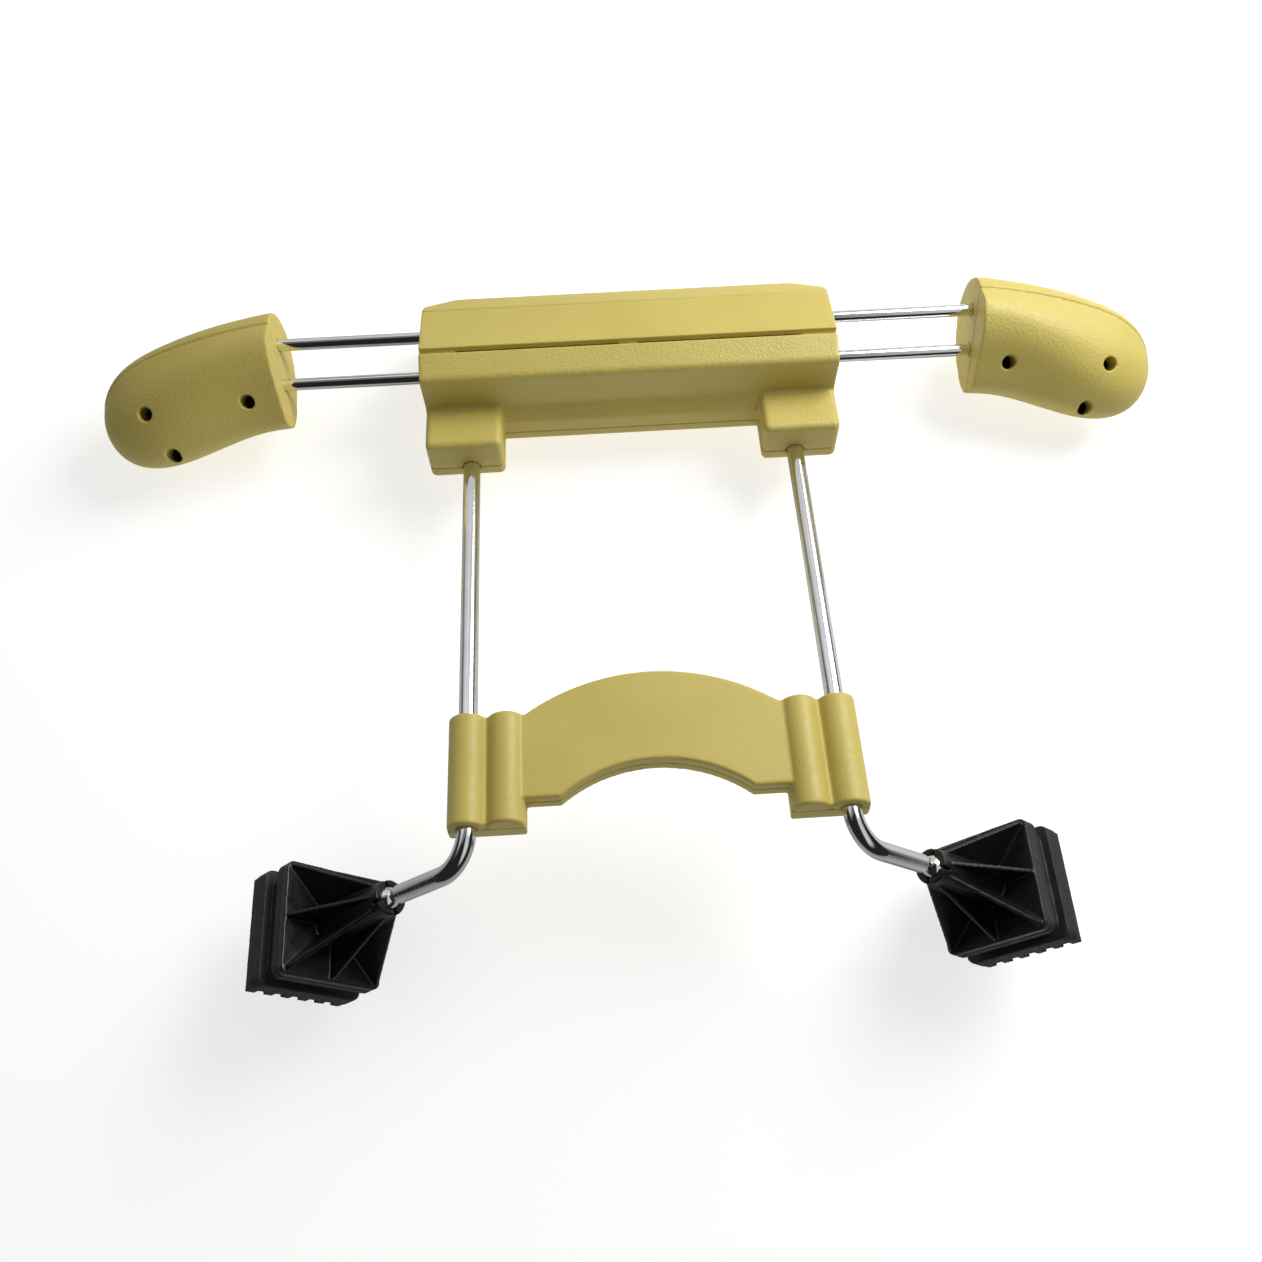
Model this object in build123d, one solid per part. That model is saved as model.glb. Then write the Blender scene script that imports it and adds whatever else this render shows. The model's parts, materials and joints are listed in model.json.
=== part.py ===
from build123d import *
import math
import os

# Telescoping car seat coat hanger, in millimetres.
#
# Everything is first modelled in a design frame: X across the hanger, Y up along the legs, Z to the front,
# with Z = 0 through the leg rods. The two arms lie in a plane that leans forward from the legs (arm_plane),
# with its own coordinates: X across, "up" along the plane and "out" to the front of it.
# At the end the whole hanger is laid on its back, so that the body and the feet rest on the ground, Z = 0.

# ---- driving dimensions --------------------------------------------------------------------------
LEG_X = 67.5                # half the spacing of the two legs
LEG_R = 3.5
LEG_TOP_Y = 165.0
BEND_Y = -40.9              # height of the leg's lower, outward stretch
BEND_R = 13.0
LEG_SWIVEL = 42.2           # how far each foot is turned back from straight outward
BALL_REACH = 43.8           # from a leg's axis to its foot ball

BODY_HALF = 85.0            # half the body's width
BLOCK_BOTTOM_Y = 132.6
BLOCK_INNER_X = 53.8
BLOCK_FRONT_Z = 14.5
BLOCK_TOP_Y = 155.0
BODY_BACK_Z = -6.0
BODY_BACK_R = 9.0           # rounding at the back of the body, where it rests on the ground
BODY_BACK_Y = 197.0         # height of the body's upper back corner
BODY_TOP_Y = 204.5
BODY_TOP_Z = 10.0
WALL = 2.4
SEAM_WIDTH = 0.8            # shadow gap where two moulded shells meet
SEAM_DEPTH = 1.2

ARM_LEAN = 39.5             # lean of the arms' plane from the legs
ARM_MID_Y = 175.25          # middle between an arm's two rods
ARM_MID_Z = 20.8
ROD_R = 2.5
ROD_UP = 8.15               # half the spacing of an arm's two rods
ROD_INNER_X = 60.0
ROD_OUTER_X = 178.0
CARRIAGE_LENGTH = 8.0
ARM_TRAVEL_IN = 55.0
ARM_TRAVEL_OUT = 2.0

FACE_X = 144.8              # shoulder's inner end face, at the arm's mid line
FACE_SLANT = 4.3
TIP_X = 220.5               # half the hanger's full width

SLEEVE_R = 6.9
SLEEVE_TOP_Y = 15.0
SLEEVE_BOTTOM_Y = -27.7
BRIDGE_TRAVEL = 112.0

BALL_R = 4.6
NECK_R = 2.2
FOOT_TILT = -2.7            # the feet at rest point this far below the leg's outward stretch
FOOT_PLATE_SIDE = 43.2
FOOT_PLATE_FRONT = 32.6     # from the ball's centre
FOOT_PLATE_THICK = 3.2
PAD_FLANGE = 3.5            # thickness of the pad's flange behind the plate
PAD_WAIST = 7.0             # height of the recess round the pad
PAD_SOLE = 7.0              # thickness of its sole, without the ridges
PAD_FLANGE_INSET = 0.6
PAD_WAIST_INSET = 3.5
PAD_CORNER_R = 3.4
TOOTH_DEPTH = 4.5
TOOTH_SHARE = 0.54          # width of a ridge, as a share of their spacing
TEETH = 6

RUN_GAP = 0.05              # radial clearance of a running fit
SCREW_R = 1.4
SCREW_HEAD_R = 2.7

# ---- frames --------------------------------------------------------------------------------------
lean = math.radians(ARM_LEAN)
arm_plane = Plane(origin=(0, ARM_MID_Y, ARM_MID_Z), x_dir=(1, 0, 0),
                  z_dir=(0, -math.sin(lean), math.cos(lean)))


def in_arm(shape):
    """Moves a shape from the arms' coordinates (across, up, out) to the design frame."""
    return arm_plane.location * shape


def foot_frame(tilt=FOOT_TILT):
    """Right foot's frame: origin at the ball, Z outward along the foot, X up the leg."""
    swivel = math.radians(LEG_SWIVEL)
    outward = Vector(math.cos(swivel), 0, -math.sin(swivel))
    origin = Vector(LEG_X, BEND_Y, 0) + outward * BALL_REACH
    level = Plane(origin=origin, x_dir=(0, 1, 0), z_dir=outward)
    return Plane(level.location * Rotation(0, tilt, 0))


rod_end_plane = foot_frame(tilt=0)
foot_plane = foot_frame()


def mirrored(shape):
    return mirror(shape, about=Plane.YZ)


def rod(radius, x0, x1, up=0.0, out=0.0):
    """Cylinder along X between two stations, in the arms' coordinates or the design frame."""
    return Pos((x0 + x1) / 2, up, out) * Rotation(0, 90, 0) * Cylinder(radius, abs(x1 - x0))


def post(radius, y0, y1, x=0.0, z=0.0):
    """Cylinder along Y between two heights."""
    return Pos(x, (y0 + y1) / 2, z) * Rotation(90, 0, 0) * Cylinder(radius, abs(y1 - y0))


def peg(radius, z0, z1, x=0.0, y=0.0):
    """Cylinder along Z between two depths."""
    return Pos(x, y, (z0 + z1) / 2) * Cylinder(radius, abs(z1 - z0))


def block(x0, x1, y0, y1, z0, z1):
    """Box between opposite corners."""
    return Pos((x0 + x1) / 2, (y0 + y1) / 2, (z0 + z1) / 2) * Box(abs(x1 - x0), abs(y1 - y0), abs(z1 - z0))


def screw(x, y, head_z, tip_z):
    """Pan-head screw along Z with a cross recess in its head."""
    outward = 1 if head_z > tip_z else -1
    head = peg(SCREW_HEAD_R, head_z, head_z + outward * 1.8, x, y)
    recess_z = head_z + outward * 1.3
    for angle in (0, 90):
        head -= Pos(x, y, recess_z) * Rotation(0, 0, angle) * Box(3.0, 0.7, 1.4)
    return head + peg(SCREW_R, head_z, tip_z, x, y)


# ---- body ----------------------------------------------------------------------------------------
BAND_STEP_Y = 165.0         # groove between the body's two front bands, and how far back it reaches
BAND_STEP_Z = 34.2
BODY_PROFILE = (            # (height, depth, corner radius), front face first
    (BAND_STEP_Y, 36.8, 1.5),
    (190.0, 33.0, 4.0),
    (203.0, 27.0, 6.0),
    (BODY_TOP_Y, BODY_TOP_Z, 8.0),
    (BODY_BACK_Y, BODY_BACK_Z, BODY_BACK_R),
    (150.5, BODY_BACK_Z, 3.0),
    (149.0, 7.5, 3.0),
    (152.6, 15.0, 5.0),
    (151.6, 32.2, 3.0),
    (163.4, 36.3, 1.0),
)


SEAM_SKIN_UP = 19.2         # height of the body's skin at the seam, in the arms' plane


def body_face():
    """The body's section, across X."""
    points = [(y, z) for y, z, _ in BODY_PROFILE]
    radii = [radius for _, _, radius in BODY_PROFILE]
    with BuildLine(Plane.YZ) as outline:
        FilletPolyline(*points, radius=radii, close=True)
    return make_face(outline.line)


def seam_groove():
    """Shadow gap where the two shells of the body meet along its top and down its ends."""
    half, reach = SEAM_WIDTH / 2, BODY_HALF + 1
    groove = block(-reach, reach, SEAM_SKIN_UP - SEAM_DEPTH, 30, -half, half)
    for side in (-1, 1):
        groove += block(side * (BODY_HALF - SEAM_DEPTH), side * reach, -60, 30, -half, half)
    return in_arm(groove)


def body_outer():
    """Outer shape of the body with both leg blocks and the softened top corners."""
    bar = Pos(-BODY_HALF, 0, 0) * extrude(body_face(), amount=2 * BODY_HALF, dir=(1, 0, 0))
    crown = FilletPolyline((-BODY_HALF, -60), (-BODY_HALF, 21.0), (-70, 24.6), (70, 24.6), (BODY_HALF, 21.0),
                           (BODY_HALF, -60), radius=[2, 2, 30, 30, 2, 2], close=True)
    bar = bar & in_arm(Pos(0, 0, -45) * extrude(make_face(crown), amount=90))
    bar -= block(-BODY_HALF, BODY_HALF, BAND_STEP_Y - 1.8, BAND_STEP_Y, BAND_STEP_Z, 40)
    leg_block = block(BLOCK_INNER_X, BODY_HALF, BLOCK_BOTTOM_Y, BLOCK_TOP_Y, BODY_BACK_Z, BLOCK_FRONT_Z)
    bottom_edges = leg_block.faces().sort_by(Axis.Y)[0].edges()
    side_edges = leg_block.edges().filter_by(Axis.Y)
    leg_block = fillet(list(bottom_edges) + list(side_edges), 2.4)
    return bar + leg_block + mirrored(leg_block) - seam_groove()


def body_cavity():
    """Hollow inside the body, behind its walls."""
    inner = offset(body_face(), amount=-WALL)
    half = BODY_HALF - WALL
    hollow = Pos(-half, 0, 0) * extrude(inner, amount=2 * half, dir=(1, 0, 0))
    crown = Pos(0, -22.6, 0) * Box(2 * half, 88, 90)
    return hollow & in_arm(crown)


def front_half():
    """All in front of the body's parting surface, which runs through the legs, then along the arms' plane."""
    knee = (ARM_MID_Y - ARM_MID_Z / math.tan(lean), 0)
    reach = 70.0
    top = (ARM_MID_Y + reach * math.cos(lean), ARM_MID_Z + reach * math.sin(lean))
    with BuildLine(Plane.YZ) as outline:
        Polyline((100, 0), knee, top, (100, top[1]), close=True)
    width = 2 * BODY_HALF + 10
    return Pos(-width / 2, 0, 0) * extrude(make_face(outline.line), amount=width, dir=(1, 0, 0))


BODY_SCREWS = ((0, 0), (78, 0), (-78, 0), (40, -20.5), (-40, -20.5))    # (across, up) in the arms' plane
BODY_SCREW_HEAD = -9.0      # depth of the screw heads behind the parting surface
BODY_SCREW_TIP = 6.5


def build_body():
    """Front and rear shell, with the arms' bearings, the leg bores and the screw bosses."""
    outer = body_outer()
    cavity = body_cavity()
    inside = []
    for side in (-1, 1):
        inside.append(block(side * 70.5, side * 73.5, 140, 210, -20, 45))
        inside.append(post(7.2, 140, LEG_TOP_Y + 4, side * LEG_X, 0))
    inside.append(block(-1.5, 1.5, 140, 210, -20, 45))
    for x, up in BODY_SCREWS:
        inside.append(in_arm(peg(3.7, -40, 25, x, up)))
    solid = outer - cavity
    for piece in inside:
        solid += piece & outer
    for side in (-1, 1):
        for up in (-ROD_UP, ROD_UP):
            solid -= in_arm(rod(ROD_R + RUN_GAP, side * 69, side * (BODY_HALF + 1), up))
        solid -= post(LEG_R + RUN_GAP, BLOCK_BOTTOM_Y - 1, LEG_TOP_Y + 0.5, side * LEG_X, 0)
        solid -= post(5.2, CLIP_Y - 0.6, CLIP_Y + 1.8, side * LEG_X, 0)
    for x, up in BODY_SCREWS:
        solid -= in_arm(peg(SCREW_HEAD_R + 0.4, BODY_SCREW_HEAD, -45, x, up))
        solid -= in_arm(peg(SCREW_R, BODY_SCREW_HEAD - 1, BODY_SCREW_TIP, x, up))
    front = front_half()
    return solid & front, solid - front


def build_body_screws():
    return [in_arm(screw(x, up, BODY_SCREW_HEAD, BODY_SCREW_TIP)) for x, up in BODY_SCREWS]


# ---- arms ----------------------------------------------------------------------------------------
SHOULDER_ROOT_X = 140.0       # where the shoulder's form begins, inward of its end face
SHOULDER_ROOT_MID = -2.3      # height of its middle there
SHOULDER_DROOP = 16.4
SHOULDER_ROOT_TALL = 23.5     # half its height there
SHOULDER_SWELL = 21.7         # how much of that it gains outward, before it rounds off at the tip
SHOULDER_FRONT = 19.5         # depth of its front ridge at the root
SHOULDER_BACK = 21.0          # depth of its back there
SHOULDER_RIDGE_UP = 0.27      # height of the front ridge above the middle, as a share of half the height
SHOULDER_RIDGE_DROP = 0.40    # how far it comes down by the tip
SHOULDER_HOLLOW_UP = 0.12     # height of the deepest line of the back
SHOULDER_FULLNESS = ((0.63, 0.05), (0.64, 0.09), (0.67, 0.05), (0.73, 0.0))    # of each quarter, and its gain
SHOULDER_SECTIONS = 8
SHOULDER_LAST_ANGLE = 86.0
SHOULDER_WALL = 2.6
SHOULDER_BOSS_R = 4.5
SHOULDER_SPLIT = 0.25         # slope of the parting plane between its shells
SHOULDER_SPLIT_UP = -25.5     # height where that plane crosses the plane of the rods
SHOULDER_SCREWS = ((157.0, -14.8, 13.0), (198.3, -17.8, 13.0), (191.0, -34.8, 6.0))   # (across, up, length)
SHOULDER_SCREW_FLOOR = 2.4    # from the parting plane to the screw heads


def split_depth(up):
    """Depth of the parting plane at a height."""
    return SHOULDER_SPLIT * (up - SHOULDER_SPLIT_UP)


def shoulder_section(across, along, mid, tall, front, back):
    """Section of a shoulder, as four curves that meet at its top, front ridge, bottom and back.
    Its front is roof-like at the root and rounder at the tip; along goes from 0 to 1."""
    rise, depth = Vector(0, 1, 0), Vector(0, 0, 1)
    blend = math.sin(math.pi * along / 2) ** 2
    ridge = mid + tall * (SHOULDER_RIDGE_UP - SHOULDER_RIDGE_DROP * blend)
    hollow = mid + tall * SHOULDER_HOLLOW_UP
    points = [Vector(across, mid + tall, 0), Vector(across, ridge, front),
              Vector(across, mid - tall, 0), Vector(across, hollow, -back)]
    middles = [Vector(across, level, 0) for level in (ridge, ridge, hollow, hollow)]
    heads = [depth, -rise, -depth, rise]
    fullness = [at_root + gain * blend for at_root, gain in SHOULDER_FULLNESS]
    quarters = []
    for number in range(4):
        start, end = points[number], points[(number + 1) % 4]
        corner = start + end - middles[number]
        bulge = middles[number] + (corner - middles[number]) * fullness[number]
        tangents = [heads[number], heads[(number + 1) % 4]]
        quarters.append(Edge.make_spline([start, bulge, end], tangents=tangents))
    return Wire(quarters)


def shoulder_solid(shrink=0.0):
    """Right shoulder in the arms' coordinates, its whole outer skin moved in by shrink."""
    length = TIP_X - SHOULDER_ROOT_X - shrink
    wires = []
    for number in range(SHOULDER_SECTIONS):
        angle = math.radians(SHOULDER_LAST_ANGLE * number / (SHOULDER_SECTIONS - 1))
        along = math.sin(angle)
        mid = SHOULDER_ROOT_MID - SHOULDER_DROOP * math.sin(math.pi * along / 2) ** 2
        tall = math.cos(angle) * (SHOULDER_ROOT_TALL + SHOULDER_SWELL * along ** 2) - shrink
        front = math.cos(angle) * SHOULDER_FRONT * (1 + 0.3 * along ** 2) - shrink
        back = math.cos(angle) * SHOULDER_BACK * (1 + 0.15 * along ** 2) - shrink
        if min(tall, front, back) > 0.5:
            across = SHOULDER_ROOT_X + length * along
            wires.append(shoulder_section(across, along, mid, tall, front, back))
    return Solid.make_loft(wires, ruled=False)


def split_slab(behind, ahead):
    """Everything between two depths from the parting plane of a shoulder's shells."""
    tilt = math.degrees(math.atan(SHOULDER_SPLIT))
    return Pos(0, SHOULDER_SPLIT_UP, 0) * Rotation(tilt, 0, 0) * block(100, 240, -80, 100, behind, ahead)


def build_shoulder():
    """Right shoulder's front and rear shell."""
    outer = shoulder_solid()
    outer -= split_slab(-SEAM_WIDTH / 2, SEAM_WIDTH / 2) - shoulder_solid(SEAM_DEPTH)
    room = block(FACE_X + SHOULDER_WALL + 2, TIP_X, -45, 30, -30, 30)
    cavity = shoulder_solid(SHOULDER_WALL) & room
    solid = outer - cavity
    inside = [rod(SHOULDER_BOSS_R, SHOULDER_ROOT_X, ROD_OUTER_X + 3, up) for up in (-ROD_UP, ROD_UP)]
    inside += [peg(SHOULDER_BOSS_R, -30, 30, x, up) for x, up, _ in SHOULDER_SCREWS]
    for piece in inside:
        solid += piece & outer
    for up in (-ROD_UP, ROD_UP):
        solid -= rod(ROD_R, 130, ROD_OUTER_X, up)
    for x, up, length in SHOULDER_SCREWS:
        head = split_depth(up) + SHOULDER_SCREW_FLOOR
        solid -= peg(SCREW_HEAD_R + 0.2, head, 35, x, up)
        solid -= peg(SCREW_R, head + 1, head - length, x, up)
    solid -= Pos(FACE_X - 25, 0, 0) * Rotation(0, 0, -FACE_SLANT) * Box(50, 120, 80)
    front = split_slab(0, 60)
    return in_arm(solid & front), in_arm(solid - front)


def build_shoulder_screws():
    screws = []
    for x, up, length in SHOULDER_SCREWS:
        head = split_depth(up) + SHOULDER_SCREW_FLOOR
        screws.append(in_arm(screw(x, up, head, head - length)))
    return screws


def build_arm_rod(up):
    """Arm rod with chamfered ends, pressed into the carriage and the shoulder."""
    bar = rod(ROD_R, ROD_INNER_X, ROD_OUTER_X, up)
    return in_arm(chamfer(bar.edges().filter_by(GeomType.CIRCLE), 0.4))


def build_carriage():
    """Sliding bar that joins an arm's two rods inside the body."""
    x0, x1 = ROD_INNER_X, ROD_INNER_X + CARRIAGE_LENGTH
    bar = block(x0, x1, -ROD_UP, ROD_UP, -3.2, 3.2)
    for up in (-ROD_UP, ROD_UP):
        bar += rod(4.2, x0, x1, up)
    for up in (-ROD_UP, ROD_UP):
        bar -= rod(ROD_R, x0 - 1, x1 + 1, up)
    return in_arm(bar)


# ---- legs ----------------------------------------------------------------------------------------
CLIP_Y = 145.0
CLIP_THICK = 1.0
CLIP_GROOVE_R = 2.8


def build_leg():
    """Right leg: upright rod, round bend, outward stretch and the slim neck that holds the ball."""
    swivel = math.radians(LEG_SWIVEL)
    outward = Vector(math.cos(swivel), 0, -math.sin(swivel))
    corner = Vector(LEG_X, BEND_Y, 0)
    shoulder = corner + outward * (BALL_REACH - 7.6)
    path = FilletPolyline((LEG_X, LEG_TOP_Y, 0), corner, shoulder, radius=BEND_R)
    start = Plane(origin=(LEG_X, LEG_TOP_Y, 0), z_dir=(0, -1, 0))
    bar = sweep(start * Circle(LEG_R), path=path)
    neck = rod_end_plane.location * (
        Pos(0, 0, -6.85) * Cone(LEG_R, NECK_R, 1.5)
        + peg(NECK_R, -6.2, BALL_R - 2.0))
    bar += neck
    top_edge = bar.edges().filter_by(GeomType.CIRCLE).sort_by(Axis.Y)[-1]
    bar = chamfer(top_edge, 0.6)
    groove = post(LEG_R + 1, CLIP_Y, CLIP_Y + CLIP_THICK, LEG_X) - post(CLIP_GROOVE_R, 140, 150, LEG_X)
    return bar - groove


def build_leg_clip():
    """Open retaining ring in the leg's groove."""
    ring = post(4.7, CLIP_Y, CLIP_Y + CLIP_THICK, LEG_X) - post(CLIP_GROOVE_R, 140, 150, LEG_X)
    return ring - block(LEG_X - 1.6, LEG_X + 1.6, 140, 150, 0.5, 8)


def build_ball():
    """Foot ball, bored for the leg's neck."""
    bore = peg(NECK_R + RUN_GAP, -BALL_R - 1, BALL_R - 1.5)
    return rod_end_plane.location * (Sphere(BALL_R) - bore)


# ---- feet ----------------------------------------------------------------------------------------
SOCKET_R = 6.6
SOCKET_RIM = -2.2           # the socket's rim, just past the ball's middle
RIB_THICK = 1.6
RIB_TOP = 1.5
PAD_SIDE = 44.6
TOOTH_END_INSET = 0.6
SOLE_Z = FOOT_PLATE_FRONT + FOOT_PLATE_THICK + PAD_FLANGE + PAD_WAIST + PAD_SOLE + TOOTH_DEPTH


def build_foot_frame():
    """Ball socket with a tapered boss, eight gusset ribs and a square plate."""
    half = FOOT_PLATE_SIDE / 2
    plate = extrude(RectangleRounded(FOOT_PLATE_SIDE, FOOT_PLATE_SIDE, 3.0), amount=FOOT_PLATE_THICK)
    plate = Pos(0, 0, FOOT_PLATE_FRONT) * plate
    boss_length = FOOT_PLATE_FRONT - SOCKET_RIM + 0.5
    boss = Pos(0, 0, SOCKET_RIM + boss_length / 2) * Cone(SOCKET_R, SOCKET_R + 1.6, boss_length)
    foot = plate + boss
    for number in range(8):
        angle = 45.0 * number
        reach = half - 0.8 if number % 2 == 0 else half * math.sqrt(2) - 2.6
        outline = Polyline((3.0, RIB_TOP), (SOCKET_R + 0.4, RIB_TOP), (reach, FOOT_PLATE_FRONT - 1.4),
                           (reach, FOOT_PLATE_FRONT + 0.5), (3.0, FOOT_PLATE_FRONT + 0.5), close=True)
        rib = extrude(Plane.XZ * make_face(outline), amount=RIB_THICK / 2, both=True)
        foot += Rotation(0, 0, angle) * rib
    foot -= Sphere(BALL_R + RUN_GAP + 0.01)
    for number in range(4):
        slot = block(0, SOCKET_R + 2, -0.5, 0.5, SOCKET_RIM - 1, 1.2)
        foot -= Rotation(0, 0, 22.5 + 90.0 * number) * slot
    return foot_plane.location * foot


def build_foot_pad():
    """Rubber pad behind the plate: flange, recessed waist and a sole with parallel ridges."""
    back = FOOT_PLATE_FRONT + FOOT_PLATE_THICK
    layers = ((PAD_FLANGE, PAD_FLANGE_INSET), (PAD_WAIST, PAD_WAIST_INSET), (PAD_SOLE, 0.0))
    solids = []
    for thick, inset in layers:
        side = PAD_SIDE - 2 * inset
        solids.append(Pos(0, 0, back) * extrude(RectangleRounded(side, side, PAD_CORNER_R), amount=thick))
        back += thick
    pitch = PAD_SIDE / TEETH
    half = PAD_SIDE / 2 - TOOTH_END_INSET
    for number in range(TEETH):
        middle = -PAD_SIDE / 2 + pitch * (number + 0.5)
        low, high = middle - pitch * TOOTH_SHARE / 2, middle + pitch * TOOTH_SHARE / 2
        solids.append(block(-half, half, low, high, back - 0.5, SOLE_Z))
    pad = solids[0]
    for solid in solids[1:]:
        pad += solid
    return foot_plane.location * pad


# ---- bridge --------------------------------------------------------------------------------------
INNER_SLEEVE_X = 53.6
PLATE_FRONT_Z = 4.0
PLATE_BACK_Z = -5.4
BRIDGE_PARTING_Z = -0.8
SLEEVE_BACK_Z = -7.6        # flat back behind each pair of sleeves
BRIDGE_SCREWS = ((-33, 6), (-12, 15), (12, 15), (33, 6))
BRIDGE_SCREW_HEAD = -3.2
BRIDGE_SCREW_TIP = 2.4
ARCH_FLAT_Y = -18.5
ARCH_FLAT_X = 34.3
ARCH_BOTTOM_Y = -6.1
ARCH_TOP_Y = 29.5
ARCH_TOP_END = (46.6, 14.4)
PLATE_END_X = 49.0          # inside the inner sleeves


def bridge_outline():
    """Arched plate between the sleeves, seen from the front."""
    with BuildLine() as outline:
        ThreePointArc((-ARCH_TOP_END[0], ARCH_TOP_END[1]), (0, ARCH_TOP_Y), ARCH_TOP_END)
        Polyline(ARCH_TOP_END, (PLATE_END_X, ARCH_TOP_END[1]), (PLATE_END_X, ARCH_FLAT_Y),
                 (ARCH_FLAT_X, ARCH_FLAT_Y))
        ThreePointArc((ARCH_FLAT_X, ARCH_FLAT_Y), (0, ARCH_BOTTOM_Y), (-ARCH_FLAT_X, ARCH_FLAT_Y))
        Polyline((-ARCH_FLAT_X, ARCH_FLAT_Y), (-PLATE_END_X, ARCH_FLAT_Y), (-PLATE_END_X, ARCH_TOP_END[1]),
                 (-ARCH_TOP_END[0], ARCH_TOP_END[1]))
    return make_face(outline.line)


def build_bridge():
    """Front and rear shell of the bridge that slides on the legs."""
    plate = Pos(0, 0, PLATE_BACK_Z) * extrude(bridge_outline(), amount=PLATE_FRONT_Z - PLATE_BACK_Z)
    plate = fillet(plate.edges().group_by(Axis.Z)[-1], 1.0)
    solid = plate
    for side in (-1, 1):
        for x in (side * LEG_X, side * INNER_SLEEVE_X):
            sleeve = post(SLEEVE_R, SLEEVE_BOTTOM_Y, SLEEVE_TOP_Y, x)
            solid += fillet(sleeve.edges().filter_by(GeomType.CIRCLE), 1.0)
        solid += block(side * INNER_SLEEVE_X, side * LEG_X, SLEEVE_BOTTOM_Y + 0.6, SLEEVE_TOP_Y - 0.6,
                       PLATE_BACK_Z, PLATE_FRONT_Z - 1.2)
        back = block(side * (INNER_SLEEVE_X - SLEEVE_R), side * (LEG_X + SLEEVE_R),
                     SLEEVE_BOTTOM_Y, SLEEVE_TOP_Y, SLEEVE_BACK_Z, BRIDGE_PARTING_Z)
        solid += fillet(back.edges().filter_by(Axis.Y).group_by(Axis.Z)[0], 1.2)
        solid -= post(LEG_R + RUN_GAP, SLEEVE_BOTTOM_Y - 1, SLEEVE_TOP_Y + 1, side * LEG_X)
        solid -= post(3.6, SLEEVE_BOTTOM_Y + 2.4, SLEEVE_TOP_Y - 2.4, side * INNER_SLEEVE_X)
    for x, y in BRIDGE_SCREWS:
        solid -= peg(SCREW_HEAD_R + 0.3, BRIDGE_SCREW_HEAD, -12, x, y)
        solid -= peg(SCREW_R, BRIDGE_SCREW_HEAD - 1, BRIDGE_SCREW_TIP, x, y)
    front = block(-90, 90, -60, 60, BRIDGE_PARTING_Z, 30)
    return solid & front, solid - front


def build_bridge_screws():
    return [screw(x, y, BRIDGE_SCREW_HEAD, BRIDGE_SCREW_TIP) for x, y in BRIDGE_SCREWS]


# ---- laying the hanger on the ground -------------------------------------------------------------
def rounding_height():
    """Height of the centre of the rounding at the body's upper back corner."""
    slope = math.atan2(BODY_TOP_Z - BODY_BACK_Z, BODY_TOP_Y - BODY_BACK_Y)
    return BODY_BACK_Y - BODY_BACK_R * math.tan(slope / 2)


def lay_angle():
    """Turn about X that brings the rounding at the body's back level with the pads' lowest corners."""
    half = PAD_SIDE / 2 - TOOTH_END_INSET
    tooth_edge = PAD_SIDE / 2 - PAD_SIDE / TEETH * (1 - TOOTH_SHARE) / 2
    corners = [foot_plane.from_local_coords(Vector(up, edge, SOLE_Z))
               for up in (half, -half) for edge in (tooth_edge, -tooth_edge)]
    foot = min(corners, key=lambda corner: corner.Z - 0.36 * corner.Y)
    rise = BODY_BACK_Z + BODY_BACK_R - foot.Z
    run = rounding_height() - foot.Y
    return math.degrees(math.atan2(rise, run) - math.asin(BODY_BACK_R / math.hypot(rise, run)))


TURN = Rotation(-lay_angle(), 0, 0)


def build_all():
    """Every node in the design frame, by name."""
    nodes = {}
    nodes["body_front_shell"], nodes["body_rear_shell"] = build_body()
    nodes["body_screws"] = build_body_screws()
    nodes["bridge_front_shell"], nodes["bridge_rear_shell"] = build_bridge()
    nodes["bridge_screws"] = build_bridge_screws()
    front, rear = build_shoulder()
    right = {
        "shoulder_front_shell": front,
        "shoulder_rear_shell": rear,
        "shoulder_screws": build_shoulder_screws(),
        "upper_arm_rod": build_arm_rod(ROD_UP),
        "lower_arm_rod": build_arm_rod(-ROD_UP),
        "arm_carriage": build_carriage(),
        "leg_rod": build_leg(),
        "leg_clip": build_leg_clip(),
        "foot_ball": build_ball(),
        "foot_frame": build_foot_frame(),
        "foot_pad": build_foot_pad(),
    }
    for name, shape in right.items():
        nodes["right_" + name] = shape
        if isinstance(shape, list):
            nodes["left_" + name] = [mirrored(piece) for piece in shape]
        else:
            nodes["left_" + name] = mirrored(shape)
    return nodes


def as_one(shape):
    """A node's solids as one compound, or its single solid."""
    pieces = shape if isinstance(shape, list) else [shape]
    solids = [solid for piece in pieces for solid in piece.solids()]
    return solids[0] if len(solids) == 1 else Compound(children=solids)


laid = {name: TURN * as_one(shape) for name, shape in build_all().items()}
boxes = [shape.bounding_box(optimal=True) for shape in laid.values()]
LOW_Z = min(box.min.Z for box in boxes)
MID_Y = (min(box.min.Y for box in boxes) + max(box.max.Y for box in boxes)) / 2
SHIFT = Pos(0, -MID_Y, -LOW_Z)

os.makedirs("parts", exist_ok=True)
for name, shape in laid.items():
    export_step(SHIFT * shape, "parts/" + name + ".step")
print("lay angle", round(lay_angle(), 3), "shift", round(-MID_Y, 3), round(-LOW_Z, 3))
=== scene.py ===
import json

import bpy
from mathutils import Matrix, Vector

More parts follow.
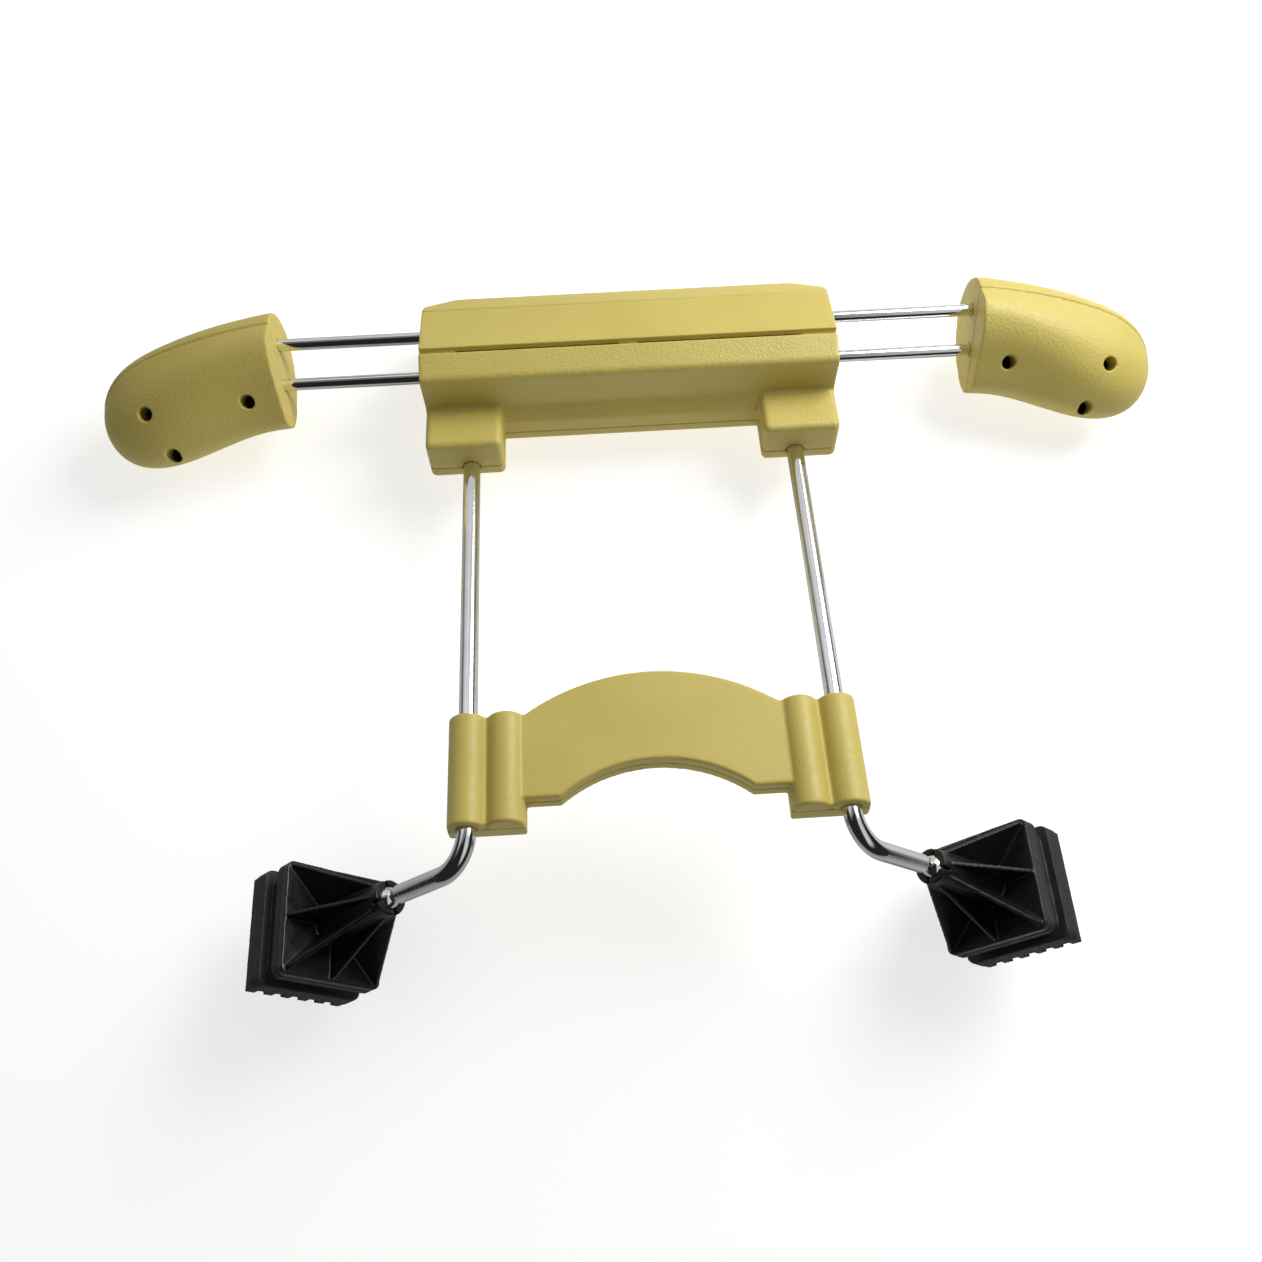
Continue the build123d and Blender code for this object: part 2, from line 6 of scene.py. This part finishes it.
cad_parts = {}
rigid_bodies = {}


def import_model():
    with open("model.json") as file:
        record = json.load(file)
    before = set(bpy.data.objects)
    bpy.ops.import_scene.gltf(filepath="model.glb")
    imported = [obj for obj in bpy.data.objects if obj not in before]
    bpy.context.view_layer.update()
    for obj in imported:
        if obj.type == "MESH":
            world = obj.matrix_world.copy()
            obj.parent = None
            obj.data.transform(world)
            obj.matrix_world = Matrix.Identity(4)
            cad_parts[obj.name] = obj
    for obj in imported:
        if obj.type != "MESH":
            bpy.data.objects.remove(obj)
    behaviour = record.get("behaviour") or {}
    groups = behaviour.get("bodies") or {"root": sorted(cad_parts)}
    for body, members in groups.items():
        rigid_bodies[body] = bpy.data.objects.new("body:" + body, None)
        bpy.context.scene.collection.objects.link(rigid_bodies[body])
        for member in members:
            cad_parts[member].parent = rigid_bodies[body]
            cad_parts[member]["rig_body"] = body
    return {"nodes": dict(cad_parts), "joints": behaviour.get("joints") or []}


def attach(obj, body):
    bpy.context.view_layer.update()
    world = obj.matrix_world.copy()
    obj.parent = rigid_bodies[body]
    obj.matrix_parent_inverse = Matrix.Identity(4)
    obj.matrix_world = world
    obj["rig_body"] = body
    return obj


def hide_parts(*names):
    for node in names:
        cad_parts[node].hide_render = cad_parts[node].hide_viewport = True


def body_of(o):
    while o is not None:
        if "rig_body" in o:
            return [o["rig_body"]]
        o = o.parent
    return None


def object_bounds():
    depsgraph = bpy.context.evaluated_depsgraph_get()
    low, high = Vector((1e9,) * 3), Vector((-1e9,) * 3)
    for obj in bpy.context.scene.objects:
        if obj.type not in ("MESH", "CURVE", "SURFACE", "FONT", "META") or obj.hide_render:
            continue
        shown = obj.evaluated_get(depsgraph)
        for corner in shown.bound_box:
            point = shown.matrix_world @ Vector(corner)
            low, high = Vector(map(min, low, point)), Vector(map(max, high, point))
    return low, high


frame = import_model()
cad_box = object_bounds()
nodes = frame["nodes"]

# The hanger lies on its back. All sizes are in metres.


# ---- camera --------------------------------------------------------------------------------------
SWIVEL_HEIGHT = 0.1326                           # the leg swivels' height in the design frame
CAMERA_PLACE = (-0.0125, -0.18378, 0.39482)      # in the design frame
CAMERA_TURN = (0.53308, -0.01469, -0.05516)      # radians about X, Y and Z
CAMERA_LENS = 34.23                              # millimetres, on a sensor 36 mm wide
CAMERA_CLIP_START = 0.01


def design_frame():
    """The frame that the hanger is designed in: X across, Y up along the legs, Z to its front."""
    joints = {joint["name"]: joint for joint in frame["joints"]}
    across = Vector((1, 0, 0))
    up = Vector(joints["bridge_slide"]["axis"])
    swivel = Vector(joints["right_leg_swivel"]["pos_m"])
    origin = swivel - up * SWIVEL_HEIGHT
    matrix = Matrix((across, up, across.cross(up))).transposed().to_4x4()
    matrix.translation = (0, origin.y, origin.z)
    return matrix


def make_camera():
    camera = bpy.data.cameras.new("camera")
    camera.lens = CAMERA_LENS
    camera.clip_start = CAMERA_CLIP_START
    holder = bpy.data.objects.new("camera", camera)
    bpy.context.scene.collection.objects.link(holder)
    turn = Matrix.Identity(4)
    for angle, axis in zip(CAMERA_TURN, "XYZ"):
        turn = turn @ Matrix.Rotation(angle, 4, axis)
    holder.matrix_world = design_frame() @ Matrix.Translation(CAMERA_PLACE) @ turn
    bpy.context.scene.camera = holder


make_camera()


# ---- materials -----------------------------------------------------------------------------------
# Scales of patterns are in cells to the metre, and depths of bumps in metres.
class Material:
    """A material under construction, with short calls for its nodes.

    Its plain colour and roughness stand in wherever the nodes aren't read.
    """

    def __init__(self, name, colour, roughness, metallic=0.0):
        self.material = bpy.data.materials.new(name)
        self.material.use_nodes = True
        self.tree = self.material.node_tree
        self.shader = self.tree.nodes["Principled BSDF"]
        self.shader.inputs["Base Color"].default_value = (*colour, 1)
        self.shader.inputs["Roughness"].default_value = roughness
        self.shader.inputs["Metallic"].default_value = metallic
        self.place = self.node("ShaderNodeTexCoord").outputs["Object"]

    def node(self, kind, **settings):
        made = self.tree.nodes.new(kind)
        for name, value in settings.items():
            setattr(made, name, value)
        return made

    def link(self, source, target):
        self.tree.links.new(source, target)

    def noise(self, scale, detail=2.0):
        """Value from 0 to 1 of a soft noise."""
        noise = self.node("ShaderNodeTexNoise")
        noise.inputs["Scale"].default_value = scale
        noise.inputs["Detail"].default_value = detail
        self.link(self.place, noise.inputs["Vector"])
        return noise.outputs["Fac"]

    def cells(self, scale):
        """Distance from the middles of pebble-like cells."""
        cells = self.node("ShaderNodeTexVoronoi", feature="SMOOTH_F1")
        cells.inputs["Scale"].default_value = scale
        self.link(self.place, cells.inputs["Vector"])
        return cells.outputs["Distance"]

    def spread(self, value, low, high, start=0.3, end=0.7):
        """Maps a value between start and end to one between low and high."""
        spread = self.node("ShaderNodeMapRange")
        for name, number in (("From Min", start), ("From Max", end), ("To Min", low), ("To Max", high)):
            spread.inputs[name].default_value = number
        self.link(value, spread.inputs["Value"])
        return spread.outputs["Result"]

    def blend(self, factor, first, second):
        """Mixes two colours, each a tuple or a socket, by a factor."""
        mix = self.node("ShaderNodeMix", data_type="RGBA")
        self.link(factor, mix.inputs["Factor"])
        for socket, colour in ((mix.inputs["A"], first), (mix.inputs["B"], second)):
            if isinstance(colour, tuple):
                socket.default_value = (*colour, 1)
            else:
                self.link(colour, socket)
        return mix.outputs["Result"]

    def bump(self, height, depth, under=None):
        """Bump of the given depth, on top of another bump if there is one."""
        bump = self.node("ShaderNodeBump")
        bump.inputs["Distance"].default_value = depth
        self.link(height, bump.inputs["Height"])
        if under is not None:
            self.link(under, bump.inputs["Normal"])
        return bump.outputs["Normal"]

    def two_tones(self, scale, first, second, detail=2.0):
        """Colour that drifts from one tone to another."""
        return self.blend(self.spread(self.noise(scale, detail), 0, 1), first, second)

    def gloss(self, scale, low, high):
        """Roughness that drifts between two values."""
        return self.spread(self.noise(scale), low, high)

    def finish(self, colour=None, roughness=None, normal=None):
        """Links what is given to the shader."""
        for name, value in (("Base Color", colour), ("Roughness", roughness), ("Normal", normal)):
            if value is not None:
                self.link(value, self.shader.inputs[name])
        return self.material


KHAKI = (0.56, 0.45, 0.105)
PALE_KHAKI = (0.585, 0.475, 0.11)
DEEP_KHAKI = (0.54, 0.435, 0.095)
KHAKI_SPECKS = (0.66, 0.56, 0.17)


def moulded_shell(name, grain_depth):
    """Khaki plastic with a pebbled grain of the given depth."""
    plastic = Material(name, KHAKI, 0.5)
    tone = plastic.two_tones(28, PALE_KHAKI, DEEP_KHAKI)
    speckled = plastic.blend(plastic.spread(plastic.noise(1500), 0, 0.3), tone, KHAKI_SPECKS)
    gloss = plastic.gloss(350, 0.42, 0.56)
    grain = plastic.bump(plastic.cells(950), grain_depth)
    fine = plastic.bump(plastic.noise(2600), 0.00003, under=grain)
    return plastic.finish(speckled, gloss, fine)


def chrome():
    """Polished chrome with faint rubbing marks."""
    metal = Material("chrome", (0.88, 0.89, 0.9), 0.08, metallic=1.0)
    tone = metal.two_tones(60, (0.9, 0.905, 0.91), (0.8, 0.81, 0.83))
    marks = metal.bump(metal.noise(260), 0.000003)
    return metal.finish(tone, metal.gloss(500, 0.06, 0.14), marks)


def steel(name, tone, roughness):
    """Plated or oiled steel of screws and rings."""
    metal = Material(name, tone, roughness, metallic=1.0)
    dull = tuple(0.7 * part for part in tone)
    colour = metal.two_tones(700, tone, dull)
    gloss = metal.gloss(1500, roughness, roughness + 0.18)
    return metal.finish(colour, gloss, metal.bump(metal.noise(2500), 0.00001))


def carriage_plastic():
    """Natural low-friction plastic, hidden inside the body."""
    plastic = Material("carriage_plastic", (0.7, 0.69, 0.64), 0.45)
    colour = plastic.two_tones(90, (0.72, 0.71, 0.66), (0.66, 0.65, 0.6))
    gloss = plastic.gloss(600, 0.35, 0.5)
    return plastic.finish(colour, gloss, plastic.bump(plastic.noise(1800), 0.00001))


def foot_plastic():
    """Black semi-gloss plastic with faint flow marks."""
    plastic = Material("foot_plastic", (0.005, 0.005, 0.005), 0.32)
    colour = plastic.two_tones(70, (0.004, 0.004, 0.0045), (0.008, 0.008, 0.0085))
    gloss = plastic.gloss(260, 0.26, 0.42)
    return plastic.finish(colour, gloss, plastic.bump(plastic.noise(1400), 0.00002))


def pad_rubber():
    """Black rubber, matte, with a dusty bloom."""
    fine_detail = 4
    rubber = Material("pad_rubber", (0.01, 0.011, 0.011), 0.62)
    colour = rubber.two_tones(120, (0.008, 0.009, 0.009), (0.016, 0.018, 0.018), fine_detail)
    gloss = rubber.gloss(420, 0.5, 0.68)
    return rubber.finish(colour, gloss, rubber.bump(rubber.noise(2200, fine_detail), 0.00004))


SHELL_GRAIN_DEPTH = 0.00004
COARSE_GRAIN_DEPTH = 0.00014      # on the shoulders and the body's front
SHELL = moulded_shell("moulded_shell", SHELL_GRAIN_DEPTH)
GRAINED_SHELL = moulded_shell("grained_shell", COARSE_GRAIN_DEPTH)
CHROME = chrome()
SCREW_STEEL = steel("screw_steel", (0.5, 0.5, 0.51), 0.3)
BLACK_STEEL = steel("black_steel", (0.03, 0.03, 0.032), 0.45)
CLIP_STEEL = steel("clip_steel", (0.3, 0.3, 0.32), 0.35)
CARRIAGE = carriage_plastic()
FOOT = foot_plastic()
RUBBER = pad_rubber()

NODE_MATERIALS = (          # the first of these words that a node's name holds decides
    ("shoulder_front", GRAINED_SHELL),
    ("shoulder_rear", GRAINED_SHELL),
    ("body_front", GRAINED_SHELL),
    ("shell", SHELL),
    ("shoulder_screws", BLACK_STEEL),
    ("screws", SCREW_STEEL),
    ("clip", CLIP_STEEL),
    ("carriage", CARRIAGE),
    ("foot_frame", FOOT),
    ("foot_pad", RUBBER),
    ("rod", CHROME),
    ("foot_ball", CHROME),
)


def finish_nodes():
    """Gives every CAD node the material of its kind."""
    for name, node in nodes.items():
        material = next(material for part, material in NODE_MATERIALS if part in name)
        node.data.materials.clear()
        node.data.materials.append(material)


finish_nodes()


# ---- softened pieces -----------------------------------------------------------------------------
# Moulded pieces have no knife edges: each is remeshed finely and its edges are rubbed round.
SOFT_PARTS = (              # (part of the node's name, remeshing cell, rounds of rubbing, faces kept)
    ("shoulder_front_shell", 0.0005, 4, 0.35),
    ("shoulder_rear_shell", 0.0005, 4, 0.35),
    ("body_front_shell", 0.0005, 4, 0.3),
    ("body_rear_shell", 0.0005, 4, 0.3),
    ("bridge_front_shell", 0.00045, 4, 0.35),
    ("bridge_rear_shell", 0.00045, 4, 0.35),
    ("foot_frame", 0.0004, 3, 0.5),
    ("foot_pad", 0.0004, 4, 0.4),
)
RUB_FACTOR = 0.5            # how far one round of rubbing pulls a point towards its neighbours


def soften(name, cell, rounds, kept):
    """A softer copy of a CAD node, which rides with the same body and stands for it."""
    node = nodes[name]
    body = body_of(node)[0]
    piece = bpy.data.objects.new(name + "_soft", node.data.copy())
    bpy.context.scene.collection.objects.link(piece)
    remesh = piece.modifiers.new("remesh", "REMESH")
    remesh.mode = "VOXEL"
    remesh.voxel_size = cell
    rub = piece.modifiers.new("rub", "SMOOTH")
    rub.factor = RUB_FACTOR
    rub.iterations = rounds
    thin = piece.modifiers.new("thin", "DECIMATE")
    thin.ratio = kept
    shape = bpy.data.meshes.new_from_object(piece.evaluated_get(bpy.context.evaluated_depsgraph_get()))
    piece.modifiers.clear()
    piece.data = shape
    shape.shade_smooth()
    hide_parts(name)
    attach(piece, body)


def soften_all():
    """Softens every node whose name holds one of the parts."""
    for name in sorted(nodes):
        for part, cell, rounds, kept in SOFT_PARTS:
            if part in name:
                soften(name, cell, rounds, kept)


soften_all()


# ---- stage ---------------------------------------------------------------------------------------
FLOOR_HALF = 4.0
FLOOR_GAP = 0.0003               # below the lowest point of the hanger
FLOOR_GLOW = 0.68
FLOOR_GLOW_IN_MIRRORS = 0.05     # little, so that polished metal keeps its dark edges


def make_floor():
    """A pale floor that glows a little, so that shadows stay faint."""
    mesh = bpy.data.meshes.new("floor")
    signs = ((-1, -1), (1, -1), (1, 1), (-1, 1))
    corners = [(x * FLOOR_HALF, y * FLOOR_HALF, 0) for x, y in signs]
    mesh.from_pydata(corners, [], [(0, 1, 2, 3)])
    floor = bpy.data.objects.new("floor", mesh)
    bpy.context.scene.collection.objects.link(floor)
    floor.location.z = cad_box[0][2] - FLOOR_GAP
    pale = Material("pale_floor", (0.62, 0.62, 0.61), 0.9)
    pale.shader.inputs["Emission Color"].default_value = (1, 1, 1, 1)
    rays = pale.node("ShaderNodeLightPath")
    glow = pale.spread(rays.outputs["Is Glossy Ray"], FLOOR_GLOW, FLOOR_GLOW_IN_MIRRORS, 0, 1)
    pale.link(glow, pale.shader.inputs["Emission Strength"])
    mesh.materials.append(pale.finish())


LIGHTS = (                       # (name, place, aim, side of the square, power in watts)
    ("key", (0.36, 0.36, 0.44), (0.0, 0.05, 0.03), 0.4, 4.1),
    ("fill", (-0.3, 0.6, 0.9), (0.0, 0.0, 0.03), 0.8, 0.3),
)


def make_light(name, place, aim, side, power):
    """A square area light at a place, turned to its aim."""
    light = bpy.data.lights.new(name, "AREA")
    light.size = side
    light.energy = power
    holder = bpy.data.objects.new(name, light)
    bpy.context.scene.collection.objects.link(holder)
    holder.location = place
    holder.rotation_euler = (Vector(aim) - Vector(place)).to_track_quat("-Z", "Y").to_euler()


class Sky:
    """The studio's world: even pale light for matt surfaces, a dark room with windows for glossy ones."""

    def __init__(self, even, dark, bright):
        self.world = bpy.data.worlds.new("studio")
        self.world.use_nodes = True
        self.tree = self.world.node_tree
        self.dark = dark
        self.bright = bright
        self.even = self.tree.nodes["Background"]
        self.even.inputs["Color"].default_value = (1, 1, 1, 1)
        self.even.inputs["Strength"].default_value = even
        direction = self.tree.nodes.new("ShaderNodeTexCoord")
        split = self.tree.nodes.new("ShaderNodeSeparateXYZ")
        self.tree.links.new(direction.outputs["Generated"], split.inputs["Vector"])
        self.axes = split.outputs

    def edge(self, axis, start, end):
        """Soft step along an axis, from 0 at start to 1 at end. The start may lie above the end."""
        step = self.tree.nodes.new("ShaderNodeMapRange")
        step.interpolation_type = "SMOOTHSTEP"
        step.inputs["From Min"].default_value = start
        step.inputs["From Max"].default_value = end
        self.tree.links.new(self.axes[axis], step.inputs["Value"])
        return step.outputs["Result"]

    def combine(self, operation, first, second):
        """Product or larger of two values."""
        result = self.tree.nodes.new("ShaderNodeMath")
        result.operation = operation
        self.tree.links.new(first, result.inputs[0])
        self.tree.links.new(second, result.inputs[1])
        return result.outputs["Value"]

    def finish(self, windows):
        """Shows the windows to polished surfaces only, and makes this the scene's world."""
        strength = self.tree.nodes.new("ShaderNodeMapRange")
        strength.inputs["To Min"].default_value = self.dark
        strength.inputs["To Max"].default_value = self.bright
        self.tree.links.new(windows, strength.inputs["Value"])
        mirrored = self.tree.nodes.new("ShaderNodeBackground")
        self.tree.links.new(strength.outputs["Result"], mirrored.inputs["Strength"])
        rays = self.tree.nodes.new("ShaderNodeLightPath")
        choose = self.tree.nodes.new("ShaderNodeMixShader")
        self.tree.links.new(rays.outputs["Is Glossy Ray"], choose.inputs["Fac"])
        self.tree.links.new(self.even.outputs["Background"], choose.inputs[1])
        self.tree.links.new(mirrored.outputs["Background"], choose.inputs[2])
        self.tree.links.new(choose.outputs["Shader"], self.tree.nodes["World Output"].inputs["Surface"])
        bpy.context.scene.world = self.world


def make_world():
    """A low window beyond the arms and a high one to the right."""
    sky = Sky(even=0.2, dark=0.02, bright=0.75)
    far = sky.combine("MULTIPLY", sky.edge("Y", -0.05, 0.4), sky.edge("Z", 0.84, 0.7))
    narrow = sky.combine("MULTIPLY", sky.edge("X", -0.9, -0.65), sky.edge("X", 0.9, 0.65))
    high = sky.combine("MULTIPLY", sky.edge("X", 0.1, 0.3), sky.edge("Z", 0.5, 0.75))
    sky.finish(sky.combine("MAXIMUM", sky.combine("MULTIPLY", far, narrow), high))


make_floor()
make_world()
for light in LIGHTS:
    make_light(*light)
bpy.context.scene.view_settings.view_transform = "Standard"
